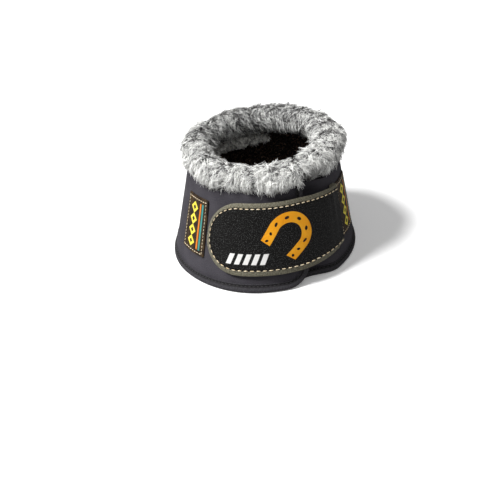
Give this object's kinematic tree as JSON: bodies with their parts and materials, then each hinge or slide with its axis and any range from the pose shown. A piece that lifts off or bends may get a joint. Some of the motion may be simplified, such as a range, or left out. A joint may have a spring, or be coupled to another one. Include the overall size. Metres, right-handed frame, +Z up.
{
  "type": "overreach boot",
  "caption": "Wrap-round horse hoof boot with a flared padded wall, a rolled fleece collar, a lapped front and a touch-and-close strap.",
  "frame": {"origin": "middle of the hem's ring, on the surface that the boot stands on", "axes": "+Z up along the boot's cone, -Y to the front where the strap fastens, +X to the strap's sewn end"},
  "size_m": [0.1661, 0.1669, 0.11],
  "materials": {
    "neoprene": "fine knit over foam",
    "lining": "short dark pile",
    "fleece": "deep mixed grey pile",
    "binding": "folded woven tape",
    "strap": "grained synthetic leather",
    "loop_tape": "ribbed loop pile",
    "hook_tape": "moulded hooks",
    "label": "printed sheen"
  },
  "bodies": {
    "under_flap": {"shell_under_flap": "neoprene", "lining_under_flap": "lining", "hem_binding_under_flap": "binding", "collar_under_flap": "fleece"},
    "right_front": {"shell_right_front": "neoprene", "lining_right_front": "lining", "hem_binding_right_front": "binding", "collar_right_front": "fleece", "label_right_front": "label", "strap_sewn_end": "strap", "strap_bar_tack": "binding"},
    "right_side": {"shell_right_side": "neoprene", "lining_right_side": "lining", "hem_binding_right_side": "binding", "collar_right_side": "fleece"},
    "right_back": {"shell_right_back": "neoprene", "lining_right_back": "lining", "hem_binding_right_back": "binding", "collar_right_back": "fleece", "label_right_back": "label"},
    "back": {"shell_back": "neoprene", "lining_back": "lining", "hem_binding_back": "binding", "collar_back": "fleece"},
    "left_back": {"shell_left_back": "neoprene", "lining_left_back": "lining", "hem_binding_left_back": "binding", "collar_left_back": "fleece", "label_left_back": "label"},
    "left_side": {"shell_left_side": "neoprene", "lining_left_side": "lining", "hem_binding_left_side": "binding", "collar_left_side": "fleece"},
    "left_front": {"shell_left_front": "neoprene", "lining_left_front": "lining", "hem_binding_left_front": "binding", "collar_left_front": "fleece", "label_left_front": "label"},
    "front": {"shell_front": "neoprene", "lining_front": "lining", "hem_binding_front": "binding", "collar_front": "fleece", "loop_patch_front": "loop_tape"},
    "over_flap": {"shell_over_flap": "neoprene", "lining_over_flap": "lining", "hem_binding_over_flap": "binding", "collar_over_flap": "fleece", "loop_patch_over_flap": "loop_tape"},
    "strap_near": {"strap_face_near": "strap", "strap_hooks_near": "hook_tape"},
    "strap_middle": {"strap_face_middle": "strap", "strap_hooks_middle": "hook_tape"},
    "strap_tip": {"strap_face_tip": "strap", "strap_hooks_tip": "hook_tape"}
  },
  "joints": [
    {"name": "wrap_open", "type": "hinge", "parent": "back", "child": "right_back", "pos_m": [0.01854, 0.08152, 0], "axis": [0.0012, -0.2375, 0.9714], "range_deg": [0, 37]},
    {"name": "fold_right_side", "type": "hinge", "parent": "right_back", "child": "right_side", "pos_m": [0.06645, 0.05073, 0], "axis": [-0.1223, -0.1601, 0.9795], "range_deg": [0, 37]},
    {"name": "fold_right_front", "type": "hinge", "parent": "right_side", "child": "right_front", "pos_m": [0.08352, -0.0036, 0], "axis": [-0.1674, -0.0202, 0.9857], "range_deg": [0, 37]},
    {"name": "fold_under_flap", "type": "hinge", "parent": "right_front", "child": "under_flap", "pos_m": [0.06183, -0.05626, 0], "axis": [-0.1112, 0.1165, 0.9869], "range_deg": [0, 37]},
    {"name": "fold_left_back", "type": "hinge", "parent": "back", "child": "left_back", "pos_m": [-0.03798, 0.07447, 0], "axis": [-0.1447, 0.2181, -0.9651], "range_deg": [0, 37]},
    {"name": "fold_left_side", "type": "hinge", "parent": "left_back", "child": "left_side", "pos_m": [-0.07687, 0.03287, 0], "axis": [-0.2431, 0.1122, -0.9635], "range_deg": [0, 37]},
    {"name": "fold_left_front", "type": "hinge", "parent": "left_side", "child": "left_front", "pos_m": [-0.08008, -0.024, 0], "axis": [-0.2522, -0.0321, -0.9671], "range_deg": [0, 37]},
    {"name": "fold_front", "type": "hinge", "parent": "left_front", "child": "front", "pos_m": [-0.04613, -0.06972, 0], "axis": [-0.167, -0.1496, -0.9745], "range_deg": [0, 37]},
    {"name": "fold_over_flap", "type": "hinge", "parent": "front", "child": "over_flap", "pos_m": [0.00923, -0.08309, 0], "axis": [-0.0253, -0.1853, -0.9824], "range_deg": [0, 37]},
    {"name": "strap_swing", "type": "hinge", "parent": "right_front", "child": "strap_near", "pos_m": [0.06464, -0.05882, 0], "axis": [-0.1112, 0.1165, 0.9869], "range_deg": [0, 111]},
    {"name": "strap_peel", "type": "hinge", "parent": "strap_near", "child": "strap_middle", "pos_m": [0.03132, -0.08159, 0], "axis": [-0.0284, 0.1727, 0.9846], "range_deg": [0, 55]},
    {"name": "fold_strap_tip", "type": "hinge", "parent": "strap_middle", "child": "strap_tip", "pos_m": [-0.01367, -0.08632, 0], "axis": [0.0827, 0.1835, 0.9795], "range_deg": [0, 55]}
  ],
  "couplings": [
    {"joint": "fold_right_side", "follows": "wrap_open", "ratio": 1},
    {"joint": "fold_right_front", "follows": "wrap_open", "ratio": 1},
    {"joint": "fold_under_flap", "follows": "wrap_open", "ratio": 1},
    {"joint": "fold_left_back", "follows": "wrap_open", "ratio": 1},
    {"joint": "fold_left_side", "follows": "wrap_open", "ratio": 1},
    {"joint": "fold_left_front", "follows": "wrap_open", "ratio": 1},
    {"joint": "fold_front", "follows": "wrap_open", "ratio": 1},
    {"joint": "fold_over_flap", "follows": "wrap_open", "ratio": 1},
    {"joint": "strap_swing", "follows": "wrap_open", "ratio": 3},
    {"joint": "fold_strap_tip", "follows": "strap_peel", "ratio": 1}
  ]
}
